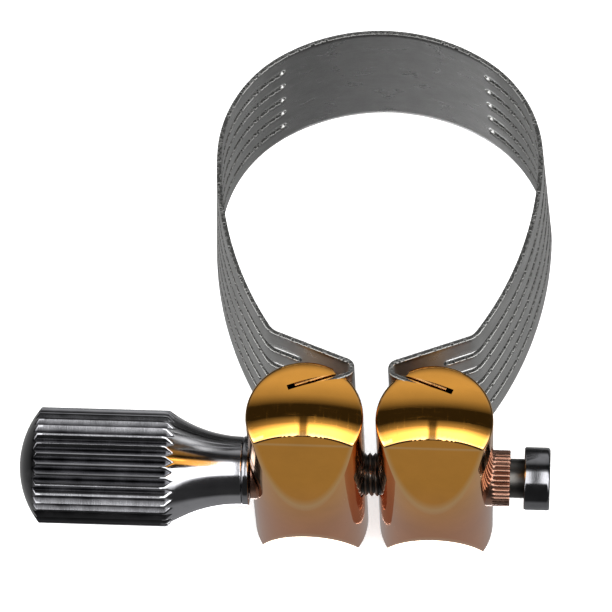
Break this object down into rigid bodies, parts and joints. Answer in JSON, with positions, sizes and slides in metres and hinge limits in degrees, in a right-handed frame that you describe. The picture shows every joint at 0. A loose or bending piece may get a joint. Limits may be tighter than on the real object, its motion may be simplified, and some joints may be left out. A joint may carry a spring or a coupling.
{
  "type": "saxophone ligature",
  "caption": "Slotted spring band that clamps a reed to a mouthpiece, hooked at both ends into domed posts that a knurled thumb screw draws together.",
  "frame": {"origin": "on the axis of the ring, half way up the band, where the mouthpiece sits", "axes": "+Z along the mouthpiece towards the band's narrow rim, +X along the screw from the thumb knob to the end cap, +Y from the posts to the band's plain plate"},
  "size_m": [0.0481, 0.0459, 0.0277],
  "materials": {
    "nickel_band": "satin nickel-plated spring strip with cut edges",
    "copper_gold_plate": "mirror-polished copper-gold plated brass",
    "copper_bush": "rose copper plated, knurled",
    "dark_steel": "fine-threaded steel",
    "black_nickel": "polished black nickel"
  },
  "bodies": {
    "frame": {"slotted_band": "nickel_band", "left_post": "copper_gold_plate", "plain_bush": "copper_bush"},
    "spindle": {"screw_spindle": "dark_steel", "thumb_knob": "black_nickel", "thrust_washer": "black_nickel", "end_cap": "black_nickel"},
    "clamp": {"right_post": "copper_gold_plate", "threaded_bush": "copper_bush"}
  },
  "joints": [
    {"name": "screw_turn", "type": "hinge", "parent": "frame", "child": "spindle", "pos_m": [0, -0.02385, -0.0029], "axis": [1, 0, 0], "range_deg": [-792, 720]},
    {"name": "post_slide", "type": "slide", "parent": "frame", "child": "clamp", "axis": [1, 0, 0], "range_m": [-0.001, 0.0011], "deforming": ["slotted_band"]}
  ],
  "couplings": [
    {"joint": "screw_turn", "follows": "post_slide", "rad_per_m": -12566}
  ]
}
